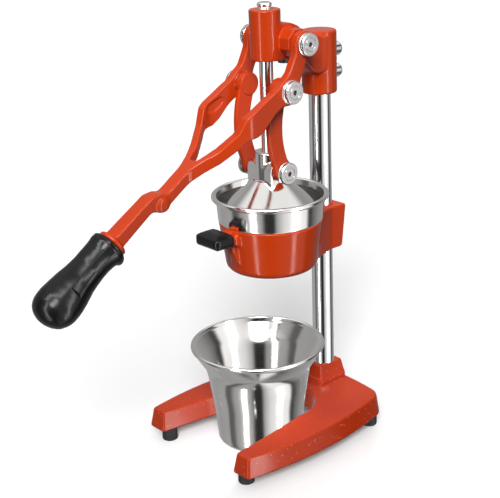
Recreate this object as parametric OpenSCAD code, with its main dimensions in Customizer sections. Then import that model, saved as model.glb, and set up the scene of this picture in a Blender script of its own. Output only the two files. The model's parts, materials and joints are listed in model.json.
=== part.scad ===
// Manual lever citrus press: cast frame, forked lever, twin links, press cone, strainer and cup.
// Origin on the press axis at table level. +Z up, -Y towards the user, the lever pivots along X.

/* [Column and guide] */
// Diameter of the chromed column
column_d = 25; // [22:0.5:28]
// Distance of the column behind the press axis
column_y = 78.6; // [76:0.1:80]
// Height of the column's top end
column_top = 455; // [450:1:457]
// Diameter of the guide rod
rod_d = 15; // [13:0.5:16]
// Height of the guide rod's top end
rod_top = 494.5; // [492:0.5:499]

/* [Base] */
// Height of the underside of the base casting
base_low = 14; // [12:1:16]
// Height of the top face of the base casting
base_high = 38; // [34:1:40]
// Radius of the round end of the opening for the cup
base_mouth_r = 49.6; // [48:0.2:51]
// Half width of the opening at the tips
base_tip_in = 65.5; // [62:0.5:70]
// Wall of the hollow base casting
base_wall = 5; // [4:0.5:6]
// Radius of the rubber feet
foot_r = 9; // [7:0.5:10]

/* [Head] */
// Height of the lever pivot
pivot_z = 458.7; // [455:0.1:461]
// Distance of the lever pivot behind the press axis
pivot_y = 18.8; // [17.5:0.1:20]
// Underside of the guide sleeve
guide_low = 440; // [436:1:444]
// Top of the guide sleeve
guide_high = 494; // [488:1:496]
// Underside of the column clamp
clamp_low = 392; // [388:1:396]
// Top of the column clamp
clamp_high = 462; // [460:1:466]

/* [Linkage] */
// Link pivot on the lever, along Y
knee_y = -4.6; // [-6:0.1:-3]
// Link pivot on the lever, height
knee_z = 411.6; // [409:0.1:414]
// Link pivot on the press, along Y
lug_y = -2.6; // [-4:0.1:-1]
// Link pivot on the press, height
lug_z = 320.5; // [319:0.1:322]
// How far the links bow towards the user
link_bow = 11; // [6:0.5:14]
// Width of a link
link_w = 20; // [16:0.5:22]
// Diameter of the polished pivot knobs
knob_d = 24.4; // [22:0.2:26]

/* [Lever] */
// Width of the lever stem
stem_w = 19; // [16:0.5:22]
// Thickness of each lever arm
arm_t = 10; // [8:0.5:11]
// Angle of the grip below the horizontal
grip_tilt = 32.5; // [30:0.5:36]
// Length of the grip
grip_len = 105; // [98:1:112]

/* [Strainer and cup] */
// Radius of the strainer bowl over its rolled rim
bowl_r = 65.8; // [64:0.2:67]
// Height of the rim of the strainer bowl
bowl_top = 292.6; // [290:0.2:295]
// Height of the holder's top edge
holder_top = 262; // [260:1:264]
// Height of the holder's underside
holder_low = 206.5; // [204:0.5:209]
// Radius of the cup over its rim
cup_r = 76.6; // [75:0.2:79]
// Height of the cup
cup_h = 120; // [118:0.5:124]
// Distance of the cup in front of the press axis
cup_y = -26; // [-28:0.5:-24]

/* [Hidden] */
$fn = 96;
eps = 0.01;
// Radial clearance of a running fit, and the gap left around a fixed piece
run = 0.05;
column_r = column_d / 2;
rod_r = rod_d / 2;
knob_r = knob_d / 2;
shank_r = 5;
shaft_r = 6;
bush_r = 10;
clamp_r = 19.8;
clamp_bolts = [437.5, 413];

// Screw that locks the pivot shaft, under the bridge of the head
lock_y = 25.5;
lock_r = 4;

// Set screws of the holder
set_screws = [234, 250];

// Layers across the machine, as distances from the middle plane
boss_x = 32;
arm_in = 33;
arm_out = arm_in + arm_t;
knob_x = arm_out + 1;
knob_out = 50.1;
link_in = 23;
link_out = 29.5;
lug_out = 20;
low_knob_in = 30.3;
low_knob_out = 36.5;

pivot = [pivot_y, pivot_z];
knee = [knee_y, knee_z];
lug = [lug_y, lug_z];

// Lever: centre of the collar, its radius and thickness
collar = [-212.9, 286.5];
collar_r = 16;
collar_t = 5;

base_arc_r = 455;
base_arc_y = -28;
base_back_r = 400;
base_half = 93.6;
base_back = 104;
base_front = -118;
base_draft = 4;
foot_x = 68.7;
foot_front = -107.5;
foot_back = 84;
feet = [for (s = [-1, 1]) each [[s * foot_x, foot_front], [s * (foot_x + 2), foot_back]]];

// Strainer: floor and outlet of the holder, plate with the dome
holder_floor = 214;
holder_hole_r = 36;
plate_r = 46.2;
plate_low = 223.6;
plate_t = 1.5;
dome_r = 31;
dome_h = 61;

// ---------- helpers ----------

// A solid along X from x0 to x1, whose outline is drawn in the (y, z) plane
module along_x(x0, x1) {
    translate([x0, 0, 0])
        rotate([90, 0, 90])
            linear_extrude(x1 - x0)
                children();
}

// A flat bar between two points
module bar(p, q, w) {
    d = q - p;
    translate(p)
        rotate(atan2(d[1], d[0]))
            translate([0, -w / 2])
                square([norm(d), w]);
}

// A disc at a point
module disc(p, r) {
    translate(p)
        circle(r);
}

module round_rect(x0, y0, x1, y1, r) {
    translate([x0 + r, y0])
        square([x1 - x0 - 2 * r, y1 - y0]);
    translate([x0, y0 + r])
        square([x1 - x0, y1 - y0 - 2 * r]);
    for (x = [x0 + r, x1 - r], y = [y0 + r, y1 - r])
        disc([x, y], r);
}

// A polished knob with a ring groove and a hex socket, from x0 out to x1
module knob_head(p, x0, x1) {
    groove = 0.6;
    socket_depth = 3;
    difference() {
        translate([x0, p[0], p[1]])
            rotate([0, 90, 0]) {
                cylinder(h = x1 - x0 - 1, r = knob_r);
                translate([0, 0, x1 - x0 - 1 - eps])
                    cylinder(h = 1 + eps, r1 = knob_r, r2 = knob_r - 1);
            }
        translate([x1 - groove, p[0], p[1]])
            rotate([0, 90, 0])
                difference() {
                    cylinder(h = 2, r = 6.6);
                    translate([0, 0, -1])
                        cylinder(h = 4, r = 6);
                }
        translate([x1 - socket_depth, p[0], p[1]])
            rotate([0, 90, 0])
                cylinder(h = socket_depth + 1, r = 2.4, $fn = 6);
    }
}

// A pair of knobs with plain shanks reaching in to x_in
module knob_pair(p, x0, x1, x_in) {
    for (side = [0, 1])
        mirror([side, 0, 0]) {
            knob_head(p, x0, x1);
            translate([x_in, p[0], p[1]])
                rotate([0, 90, 0])
                    cylinder(h = x0 - x_in + 0.5, r = shank_r);
        }
}

module washer_pair(p, x0, x1, r_out, r_in) {
    for (side = [0, 1])
        mirror([side, 0, 0])
            translate([x0, p[0], p[1]])
                rotate([0, 90, 0])
                    difference() {
                        cylinder(h = x1 - x0, r = r_out);
                        translate([0, 0, -1])
                            cylinder(h = x1 - x0 + 2, r = r_in);
                    }
}

// ---------- base ----------

// Outline of the base with every edge moved in by inset
module base_outline(inset) {
    intersection() {
        translate([base_half - base_arc_r, base_arc_y])
            circle(base_arc_r - inset, $fn = 360);
        translate([base_arc_r - base_half, base_arc_y])
            circle(base_arc_r - inset, $fn = 360);
        round_rect(-120, base_front - 3 + inset, 120, base_back - 8 - inset, 10);
    }
}

// The opening that the cup stands in, with every edge moved out by grow
module base_mouth(grow) {
    disc([0, -5], base_mouth_r + grow);
    polygon([
        [-base_mouth_r - grow, -5], [-52.9 - grow, base_arc_y], [-57.6 - grow, -57],
        [-base_tip_in - grow, base_front], [-base_tip_in - 2 - grow, -140],
        [base_tip_in + 2 + grow, -140], [base_tip_in + grow, base_front],
        [57.6 + grow, -57], [52.9 + grow, base_arc_y], [base_mouth_r + grow, -5]
    ]);
}

// The round, drafted cylinder that bounds one side of the base
module base_side(side) {
    translate([side * (base_arc_r - base_half), base_arc_y, base_low])
        cylinder(
            h = base_high - base_low, r1 = base_arc_r + base_draft, r2 = base_arc_r, $fn = 360
        );
}

module base_shell() {
    height = base_high - base_low;
    intersection() {
        base_side(-1);
        base_side(1);
        along_x(-110, 110)
            polygon([
                [base_front - 4, base_low], [base_back + 3, base_low],
                [base_back + 3, base_high], [base_front, base_high]
            ]);
        translate([0, base_back + 1 - base_back_r, base_low - 1])
            cylinder(h = height + 2, r = base_back_r, $fn = 360);
    }
}

module pedestal() {
    step_z = 48;
    top_z = 63.5;
    translate([-18.4, 55, base_high - 4])
        cube([36.8, 42.5, step_z - base_high + 4]);
    intersection() {
        rotate([90, 0, 0])
            translate([0, 0, -99])
                linear_extrude(46)
                    polygon([[-18, step_z - eps], [18, step_z - eps], [14.1, top_z], [-14.1, top_z]]);
        along_x(-20, 20)
            polygon([[55.5, step_z - eps], [97, step_z - eps], [95, top_z], [60, top_z]]);
    }
}

module base_casting() {
    boss_r = 12;
    color([0.55, 0.14, 0.07])
        difference() {
            union() {
                difference() {
                    base_shell();
                    translate([0, 0, base_low - 1])
                        linear_extrude(100)
                            base_mouth(0);
                    translate([0, 0, base_low - 1])
                        linear_extrude(base_high - base_low - base_wall + 1)
                            difference() {
                                base_outline(base_wall);
                                base_mouth(base_wall);
                                for (f = feet)
                                    disc(f, boss_r);
                                disc([0, column_y], 24);
                            }
                }
                pedestal();
            }
            translate([0, column_y, base_low + 8])
                cylinder(h = 60, r = column_r + run);
            translate([0, column_y, base_low - 1])
                cylinder(h = 20, r = 5.5);
            for (f = feet)
                translate([f[0], f[1], base_low - 1])
                    cylinder(h = 13, r = 2.1);
        }
}

module rubber_feet() {
    recess_r = 5;
    color([0.05, 0.05, 0.05])
        for (f = feet)
            translate([f[0], f[1], 0])
                difference() {
                    union() {
                        cylinder(h = 1, r1 = foot_r - 1, r2 = foot_r);
                        translate([0, 0, 1])
                            cylinder(h = base_low - 1, r = foot_r);
                    }
                    translate([0, 0, -1])
                        cylinder(h = 7, r = recess_r);
                    cylinder(h = base_low + 1, r = 2.1);
                }
}

module foot_screws() {
    color([0.7, 0.7, 0.7])
        for (f = feet)
            translate([f[0], f[1], 0]) {
                translate([0, 0, 3.2])
                    cylinder(h = 2.8, r = 4);
                translate([0, 0, 5])
                    cylinder(h = 18, r = 2);
            }
}

// ---------- column ----------

module column() {
    wall = 2.5;
    color([0.85, 0.86, 0.88])
        translate([0, column_y, base_low + 8])
            difference() {
                cylinder(h = column_top - base_low - 8, r = column_r);
                translate([0, 0, -1])
                    cylinder(h = column_top, r = column_r - wall);
            }
}

module column_insert() {
    color([0.5, 0.5, 0.52])
        translate([0, column_y, base_low + 8])
            difference() {
                cylinder(h = 30, r = column_r - 2.5 - run);
                translate([0, 0, -1])
                    cylinder(h = 26, r = 5 + run);
            }
}

module column_bolt() {
    color([0.45, 0.45, 0.47])
        translate([0, column_y, 0]) {
            translate([0, 0, base_low - 8.5])
                cylinder(h = 6.5, r = 8.5, $fn = 6);
            translate([0, 0, base_low - 3])
                cylinder(h = 35, r = 5);
        }
}

module column_washer() {
    color([0.6, 0.6, 0.62])
        translate([0, column_y, base_low - 2])
            difference() {
                cylinder(h = 2, r = 11);
                translate([0, 0, -1])
                    cylinder(h = 4, r = 5 + run);
            }
}

// ---------- head ----------

module head_casting() {
    sleeve_r = 16.8;
    barrel_r = 18.8;
    boss_r = 15.8;
    color([0.78, 0.22, 0.07])
        difference() {
            union() {
                translate([0, 0, guide_low])
                    cylinder(h = guide_high - guide_low, r = sleeve_r);
                along_x(-13, 13)
                    disc(pivot, barrel_r);
                translate([-boss_x, pivot_y, pivot_z])
                    rotate([0, 90, 0])
                        rotate(22.5)
                            cylinder(h = 2 * boss_x, r = boss_r, $fn = 8);
                along_x(-13, 13)
                    polygon([[6, 441], [34, 441], [44, 433], [60, 425], [60, 461.5], [34, 473], [8, 470]]);
                translate([0, column_y, clamp_low])
                    cylinder(h = clamp_high - clamp_low - 2, r = clamp_r);
                along_x(-18.3, 18.3)
                    polygon([
                        [33, 437], [42, 428.6], [50, 421.5], [58, 418], [73, 418], [88, 424],
                        [88, clamp_high], [54, clamp_high], [40, 460]
                    ]);
            }
            translate([0, column_y, clamp_low - 1])
                cylinder(h = column_top - clamp_low + 1, r = column_r + run);
            translate([0, 0, guide_low - 1])
                cylinder(h = 60, r = bush_r + run);
            translate([-50, pivot_y, pivot_z])
                rotate([0, 90, 0])
                    cylinder(h = 100, r = shaft_r + run);
            for (z = clamp_bolts)
                translate([0, column_y + 6, z])
                    rotate([-90, 0, 0])
                        cylinder(h = 30, r = 4 + run);
            translate([0, lock_y, 433])
                cylinder(h = 21, r = lock_r + run);
        }
}

module head_clamp_bolts() {
    head_r = 8;
    color([0.8, 0.8, 0.82])
        for (z = clamp_bolts)
            translate([0, column_y, z])
                rotate([-90, 0, 0]) {
                    translate([0, 0, column_r + 0.5])
                        cylinder(h = 12, r = 4);
                    translate([0, 0, clamp_r + 0.2])
                        cylinder(h = 7.8, r = head_r);
                    translate([0, 0, clamp_r + 8 - eps])
                        cylinder(h = 2.5, r1 = head_r, r2 = head_r - 3);
                }
}

module guide_bush() {
    color([0.7, 0.55, 0.3])
        translate([0, 0, guide_low])
            difference() {
                cylinder(h = guide_high - guide_low - 0.5, r = bush_r);
                translate([0, 0, -1])
                    cylinder(h = 60, r = rod_r + run);
            }
}

module pivot_shaft() {
    color([0.6, 0.6, 0.62])
        difference() {
            translate([-arm_out - 0.4, pivot_y, pivot_z])
                rotate([0, 90, 0])
                    cylinder(h = 2 * arm_out + 0.8, r = shaft_r);
            for (side = [0, 1])
                mirror([side, 0, 0])
                    translate([arm_out - 14, pivot_y, pivot_z])
                        rotate([0, 90, 0])
                            cylinder(h = 20, r = 3 + run);
        }
}

module pivot_lock_screw() {
    head_low = 433.2;
    head_h = 5.5;
    color([0.06, 0.06, 0.06])
        translate([0, lock_y, 0]) {
            translate([0, 0, head_low])
                difference() {
                    cylinder(h = head_h, r = 6.5);
                    translate([0, 0, -1])
                        cylinder(h = 4.5, r = 2.9, $fn = 6);
                }
            translate([0, 0, head_low + head_h - 0.5])
                cylinder(h = 15, r = lock_r);
        }
}

module pivot_spacers() {
    color([0.1, 0.1, 0.1])
        washer_pair(pivot, boss_x + 0.05, arm_in - 0.1, 11, shaft_r + run);
}

module lever_pivot_knobs() {
    color([0.85, 0.86, 0.88])
        for (side = [0, 1])
            mirror([side, 0, 0]) {
                knob_head(pivot, knob_x, knob_out);
                translate([arm_out - 13, pivot_y, pivot_z])
                    rotate([0, 90, 0])
                        cylinder(h = knob_x - arm_out + 13.5, r = 3);
            }
}

// ---------- strainer ----------

// Half section of the ring before it is hollowed
module holder_profile() {
    edge = 8;
    low_r = 50.9;
    top_r = 58.4;
    difference() {
        union() {
            translate([0, holder_low])
                square([low_r - edge, edge]);
            translate([low_r - edge, holder_low + edge])
                circle(edge);
            polygon([
                [0, holder_low + edge], [low_r - 0.1, holder_low + edge],
                [top_r, holder_top], [0, holder_top]
            ]);
        }
        translate([-20, holder_low - 1])
            square([holder_hole_r + 20, 60]);
    }
}

// Clamp block on the column, carried by a web from the ring; its back face leans
module holder_bracket() {
    low = 209.5;
    high = 260.5;
    back_low = 94;
    back_high = 100.5;
    intersection() {
        translate([0, 0, low])
            linear_extrude(high - low)
                polygon([
                    [-34, 36], [-26, 56], [-19, 75], [-19, 101],
                    [19, 101], [19, 75], [26, 56], [34, 36]
                ]);
        along_x(-40, 40)
            polygon([[30, low], [back_low, low], [back_high, high], [30, high]]);
    }
}

module strainer_holder() {
    color([0.78, 0.22, 0.07])
        difference() {
            union() {
                rotate_extrude()
                    holder_profile();
                holder_bracket();
                along_x(-11, 11)
                    polygon([[-67, 244], [-67, 257], [-52, 258], [-52, 242]]);
                along_x(-5, 5)
                    polygon([[-67, 246], [-54, 222], [-50, 222], [-50, 246]]);
                along_x(-7, 7)
                    polygon([[-84, 253.5], [-84, 262], [-60, 262], [-60, 253.5]]);
            }
            translate([0, 0, holder_floor])
                cylinder(h = holder_top + 1 - holder_floor, r1 = 47.4, r2 = 54.9);
            translate([0, 0, holder_low - 1])
                cylinder(h = 40, r = holder_hole_r);
            translate([0, column_y, 200])
                cylinder(h = 80, r = column_r + run);
            for (z = set_screws)
                translate([0, column_y + 6, z])
                    rotate([-90, 0, 0])
                        cylinder(h = 30, r = 3 + run);
            translate([0, -78, 246])
                cylinder(h = 14, r = 2 + run);
        }
}

module holder_set_screws() {
    color([0.1, 0.1, 0.1])
        for (z = set_screws)
            translate([0, column_y + column_r + 0.3, z])
                rotate([-90, 0, 0])
                    difference() {
                        cylinder(h = 5.5, r = 3);
                        translate([0, 0, 3])
                            cylinder(h = 5, r = 1.5, $fn = 6);
                    }
}

// A block whose upper and lower edges are chamfered all round
module holder_grip() {
    low = 249.5;
    high = 266;
    color([0.04, 0.04, 0.04])
        difference() {
            intersection() {
                translate([0, 0, low])
                    linear_extrude(high - low)
                        round_rect(-19.5, -94.5, 19.5, -67.3, 6);
                along_x(-25, 25)
                    polygon([
                        [-91, low], [-94.5, low + 3.5], [-94.5, high - 5], [-87, high],
                        [-74.5, high], [-67.3, high - 5], [-67.3, low + 3.5], [-70, low]
                    ]);
                rotate([90, 0, 0])
                    translate([0, 0, 60])
                        linear_extrude(40)
                            polygon([
                                [-16, low], [-19.5, low + 3.5], [-19.5, high - 5], [-10.5, high],
                                [10.5, high], [19.5, high - 5], [19.5, low + 3.5], [16, low]
                            ]);
            }
            along_x(-7.1, 7.1)
                polygon([[-84.1, 253.4], [-84.1, 262.1], [-60, 262.1], [-60, 253.4]]);
            translate([0, -78, low - 1])
                cylinder(h = 10, r = 3.6);
        }
}

module holder_grip_screw() {
    color([0.6, 0.6, 0.62])
        translate([0, -78, 0]) {
            translate([0, 0, 250])
                cylinder(h = 2.4, r = 3.5);
            translate([0, 0, 252])
                cylinder(h = 7.5, r = 2);
        }
}

// Spun bowl: rolled rim, straight wall, shoulder on the holder and an inner ledge for the plate
module strainer_bowl() {
    wall = 1.2;
    rim_r = 2.8;
    wall_r = bowl_r - 2 * rim_r + 0.1;
    rim_z = bowl_top - rim_r;
    ledge_r = 43.8;
    color([0.85, 0.86, 0.88])
        rotate_extrude() {
            polygon([
                [57, holder_top], [wall_r - 0.9, holder_top + 3], [wall_r, rim_z],
                [wall_r - wall, rim_z], [wall_r - 2.1, holder_top + 3.8],
                [56.2, holder_top + wall], [53.4, holder_top + wall], [46.8, plate_low - 0.4],
                [ledge_r, plate_low - 0.4], [ledge_r, plate_low - 1.6], [47.6, plate_low - 1.6],
                [54.2, holder_top]
            ]);
            difference() {
                translate([bowl_r - rim_r, rim_z])
                    circle(rim_r, $fn = 32);
                translate([bowl_r - rim_r, rim_z])
                    circle(rim_r - 0.9, $fn = 32);
            }
            translate([wall_r - wall, rim_z - 0.5])
                square([wall + 0.5, 1]);
        }
}

// Disc with radial juice slots, lying on the ledge of the bowl
module sieve_plate() {
    slots = 24;
    color([0.8, 0.81, 0.83])
        difference() {
            translate([0, 0, plate_low - 0.4])
                cylinder(h = plate_t, r = plate_r);
            for (i = [0:slots - 1])
                rotate(i * 360 / slots)
                    translate([34.5, -1.2, plate_low - 2])
                        cube([8, 2.4, 6]);
        }
}

// Quarter outline of the dome, its radius and height less a margin
function dome_curve(less, last) = [
    for (a = [0:7.5:last]) [(dome_r - less) * cos(a), (dome_h - less) * sin(a)]
];

function backwards(list) = [for (i = [len(list) - 1:-1:0]) list[i]];

// Hollow reaming dome with raised flutes
module strainer_dome() {
    wall = 1.5;
    flutes = 10;
    color([0.8, 0.81, 0.83])
        translate([0, 0, plate_low - 0.4 + plate_t])
            intersection() {
                union() {
                    rotate_extrude()
                        polygon(concat(dome_curve(0, 90), backwards(dome_curve(wall, 90))));
                    for (i = [0:flutes - 1])
                        rotate(i * 360 / flutes)
                            rotate([90, 0, 0])
                                translate([0, 0, -1.5])
                                    linear_extrude(3)
                                        polygon(concat(
                                            dome_curve(-1.6, 75), backwards(dome_curve(1, 75))
                                        ));
                }
                cylinder(h = 2 * dome_h, r = 2 * dome_r);
            }
}

// ---------- lever ----------

// Side view of the whole fork
module lever_side() {
    disc(pivot, 13.5);
    disc(knee, 14);
    bar(pivot, knee, 18);
    polygon([
        [-12.2, 422], [-28.5, 413.4], [-44.8, 404.1], [-56.2, 397.7], [-63.4, 392.9],
        [-67.4, 385.9], [-72, 377], [-79.5, 369.3], [-88.6, 360.5], [-100, 354],
        [-118, 344.5], [-146.5, 325.5], [-156, 326.8], [-161.5, 326.8], [-167, 325],
        [-178, 318.5], [-215, 293.4], [-207, 281.2], [-167, 309], [-162, 310],
        [-156.5, 308.7], [-150.5, 309], [-146.3, 311.3], [-124.5, 325.7], [-103.9, 338],
        [-88, 347.5], [-71.5, 360.5], [-62.7, 370], [-56.3, 371.5], [-45, 374.7],
        [-35.1, 382.6], [-25.2, 391.8], [-11, 399.3]
    ]);
}

// View from above: the stem splits into two arms
module lever_plan() {
    half = stem_w / 2;
    crotch_y = -107;
    difference() {
        polygon([
            [-half, -230], [half, -230], [half, -117], [15, -104], [arm_out - 5, -68],
            [arm_out, -60], [arm_out, 40], [-arm_out, 40], [-arm_out, -60],
            [-arm_out + 5, -68], [-15, -104], [-half, -117]
        ]);
        disc([0, crotch_y + 6], 6);
        polygon([
            [-5.5, crotch_y + 4], [5.5, crotch_y + 4], [12, -90], [arm_in - 4, -66],
            [arm_in, -56], [arm_in, 50], [-arm_in, 50], [-arm_in, -56],
            [-arm_in + 4, -66], [-12, -90]
        ]);
    }
}

module lever_fork() {
    spigot_r = 5;
    color([0.8, 0.24, 0.06])
        difference() {
            union() {
                intersection() {
                    along_x(-60, 60)
                        lever_side();
                    translate([0, 0, 200])
                        linear_extrude(320)
                            lever_plan();
                }
                translate([0, collar[0], collar[1]])
                    rotate([90 + grip_tilt, 0, 0]) {
                        translate([0, 0, -collar_t / 2])
                            cylinder(h = collar_t, r = collar_r);
                        cylinder(h = 60, r = spigot_r);
                    }
            }
            translate([-60, pivot_y, pivot_z])
                rotate([0, 90, 0])
                    cylinder(h = 120, r = shaft_r + run);
            for (side = [0, 1])
                mirror([side, 0, 0])
                    translate([arm_in - 1, knee_y, knee_z])
                        rotate([0, 90, 0])
                            cylinder(h = arm_t + 2, r = shank_r + run);
        }
}

// Club-shaped moulded grip, drawn along its own axis
module lever_grip() {
    start = collar_t / 2 + 0.1;
    color([0.04, 0.04, 0.04])
        translate([0, collar[0], collar[1]])
            rotate([90 + grip_tilt, 0, 0])
                difference() {
                    translate([0, 0, start])
                        rotate_extrude()
                            polygon([
                                [0, 0], [17, 0], [19.4, 2.5], [19.3, 7], [17.7, 17], [17.2, 31],
                                [18.7, 47], [21.6, 63], [23, 78], [22, 88], [18.8, grip_len - 9],
                                [13.6, grip_len - 4], [6, grip_len - 1], [0, grip_len]
                            ]);
                    cylinder(h = 60.3, r = 5 + run);
                    translate([0, 0, 59])
                        cylinder(h = grip_len, r = 2.6);
                    translate([0, 0, grip_len - 6])
                        cylinder(h = 20, r = 4.6);
                }
}

module grip_screw() {
    color([0.6, 0.6, 0.62])
        translate([0, collar[0], collar[1]])
            rotate([90 + grip_tilt, 0, 0]) {
                translate([0, 0, 60.4])
                    cylinder(h = grip_len - 66, r = 2.5);
                translate([0, 0, grip_len - 5.9])
                    cylinder(h = 3.5, r = 4.4);
            }
}

module link_pivot_knobs() {
    color([0.85, 0.86, 0.88])
        knob_pair(knee, knob_x, knob_out, arm_in + 0.3);
}

module knob_washers() {
    color([0.2, 0.2, 0.2])
        washer_pair(knee, arm_out + 0.1, knob_x - 0.05, 12.8, shank_r + run);
}

// ---------- links ----------

link_len = norm(knee - lug);
link_arc_r = link_len * link_len / (8 * link_bow) + link_bow / 2;
link_lean = atan2(knee[1] - lug[1], knee[0] - lug[0]);

// Side view of one bowed link, its pivot eyes at the two pins
module link_side() {
    translate(lug)
        rotate(link_lean)
            intersection() {
                translate([link_len / 2, -(link_arc_r - link_bow)])
                    difference() {
                        circle(link_arc_r + link_w / 2, $fn = 240);
                        circle(link_arc_r - link_w / 2, $fn = 240);
                    }
                translate([0, -link_w])
                    square([link_len, link_w * 3]);
            }
    disc(lug, 11);
    disc(knee, 12.5);
}

module link_body() {
    color([0.7, 0.18, 0.06])
        difference() {
            union() {
                along_x(link_in, link_out)
                    link_side();
                along_x(link_in - 1.2, arm_in - 0.6)
                    disc(knee, 12.5);
            }
            translate([link_in - 1, lug_y, lug_z])
                rotate([0, 90, 0])
                    cylinder(h = 20, r = shank_r + run);
        }
}

module link_left() {
    mirror([1, 0, 0])
        link_body();
}

module link_right() {
    link_body();
}

// ---------- press ----------

module press_cone() {
    neck_r = 16;
    neck_top = 340;
    roof_z = 300;
    color([0.85, 0.86, 0.88])
        difference() {
            union() {
                rotate_extrude()
                    polygon([
                        [0, roof_z], [20, roof_z], [22.5, roof_z - 1.4], [51.8, 275.2],
                        [54.6, 275.2], [54.6, 276.4], [17.5, 308.6], [neck_r, 310.5],
                        [neck_r, neck_top - 1], [neck_r - 1, neck_top], [0, neck_top]
                    ]);
                along_x(-lug_out, lug_out) {
                    disc(lug, 12.4);
                    translate([lug_y - 12.4, roof_z + 1])
                        square([24.8, lug_z - roof_z - 1]);
                }
            }
            translate([0, 0, roof_z + 2])
                cylinder(h = 60, r = rod_r + run);
            for (side = [0, 1])
                mirror([side, 0, 0])
                    translate([10, lug_y, lug_z])
                        rotate([0, 90, 0])
                            cylinder(h = 30, r = shank_r + run);
        }
}

module guide_rod() {
    color([0.85, 0.86, 0.88])
        translate([0, 0, 302.2])
            cylinder(h = rod_top - 302.2, r = rod_r);
}

module rod_cap() {
    cap_r = 8;
    color([0.85, 0.86, 0.88])
        translate([0, 0, rod_top + 0.05]) {
            cylinder(h = 5, r = cap_r);
            translate([0, 0, 5 - eps])
                cylinder(h = 1.5, r1 = cap_r, r2 = cap_r - 1.2);
        }
}

module press_pivot_knobs() {
    color([0.85, 0.86, 0.88])
        knob_pair(lug, low_knob_in, low_knob_out, 10.2);
}

module link_spacers() {
    color([0.75, 0.75, 0.77])
        washer_pair(lug, lug_out + 0.1, link_in - 0.15, 9, shank_r + run);
}

// ---------- cup ----------

module juice_cup() {
    wall = 1.2;
    rim_r = 1.8;
    outer = [
        [46.5, 0], [49.6, 3], [51.2, 16], [51.7, base_high], [54, 47], [56.2, 60], [58, 75],
        [59, 85], [60.4, 91], [62.8, 95.8], [66.3, 101.5], [70.6, 108.5], [cup_r - 1.6, cup_h - 3]
    ];
    inner_n = len(outer) - 1;
    color([0.85, 0.86, 0.88])
        translate([0, cup_y, 0])
            rotate_extrude() {
                polygon(concat(
                    [[0, 1.5], [43, 1.5], [44, 0]],
                    outer,
                    [for (i = [inner_n:-1:1]) [outer[i][0] - wall, outer[i][1] + wall * 0.7]],
                    [[46.5, 2.8], [0, 2.8]]
                ));
                translate([cup_r - rim_r, cup_h - rim_r])
                    circle(rim_r, $fn = 24);
            }
}

base_casting();
rubber_feet();
foot_screws();
column();
column_insert();
column_bolt();
column_washer();
head_casting();
head_clamp_bolts();
guide_bush();
pivot_shaft();
pivot_lock_screw();
pivot_spacers();
lever_pivot_knobs();
strainer_holder();
holder_set_screws();
holder_grip();
holder_grip_screw();
strainer_bowl();
sieve_plate();
strainer_dome();
lever_fork();
lever_grip();
grip_screw();
link_pivot_knobs();
knob_washers();
link_left();
link_right();
press_cone();
guide_rod();
rod_cap();
press_pivot_knobs();
link_spacers();
juice_cup();
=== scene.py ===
"""Looks of the manual citrus press. Shapes are in millimetres in the row frame: +Z up along the
press axis, -Y towards the user, the lever pivots along X. The near side is +X."""

import json
import math

import bpy
import numpy as np
from mathutils import Matrix, Vector


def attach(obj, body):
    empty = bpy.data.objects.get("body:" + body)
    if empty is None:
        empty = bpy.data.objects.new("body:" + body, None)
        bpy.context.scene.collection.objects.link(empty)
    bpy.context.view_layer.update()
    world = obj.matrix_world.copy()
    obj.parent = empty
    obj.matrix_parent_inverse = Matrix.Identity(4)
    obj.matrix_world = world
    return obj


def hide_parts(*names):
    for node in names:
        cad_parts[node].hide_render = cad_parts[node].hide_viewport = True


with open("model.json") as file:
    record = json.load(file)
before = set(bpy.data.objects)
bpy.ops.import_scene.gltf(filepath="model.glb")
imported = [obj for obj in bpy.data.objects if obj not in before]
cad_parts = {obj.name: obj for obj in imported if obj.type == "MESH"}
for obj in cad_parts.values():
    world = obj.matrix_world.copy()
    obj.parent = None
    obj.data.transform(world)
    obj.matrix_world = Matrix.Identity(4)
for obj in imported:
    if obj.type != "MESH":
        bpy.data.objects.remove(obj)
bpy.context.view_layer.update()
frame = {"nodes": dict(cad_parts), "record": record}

MM = 0.001

# Places shared by several pieces, (y, z)
PIVOT = (18.8, 458.7)
KNEE = (-4.6, 411.6)
LUG = (-2.6, 320.5)
COLUMN_Y = 78.6
COLUMN_R = 12.5
ROD_R = 7.5

# Layers across the machine
BOSS_X = 32.0
ARM_IN = 33.0
KNOB_X = 44.0
LINK_IN = 23.0
LINK_OUT = 29.5

# Base and feet
BASE_LOW = 14.0
BASE_HIGH = 38.0
FEET = [(s * x, y) for s in (-1, 1) for x, y in ((68.7, -107.5), (70.7, 84.0))]

# Lever: collar centre (y, z) and the tilt of the grip
COLLAR = (-212.9, 286.5)
GRIP_TILT = math.radians(32.5)

# Cup
CUP_Y = -26.0
CUP_TOP = 120.0
CUP_R = 76.6


# ---------- outlines ----------

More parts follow.
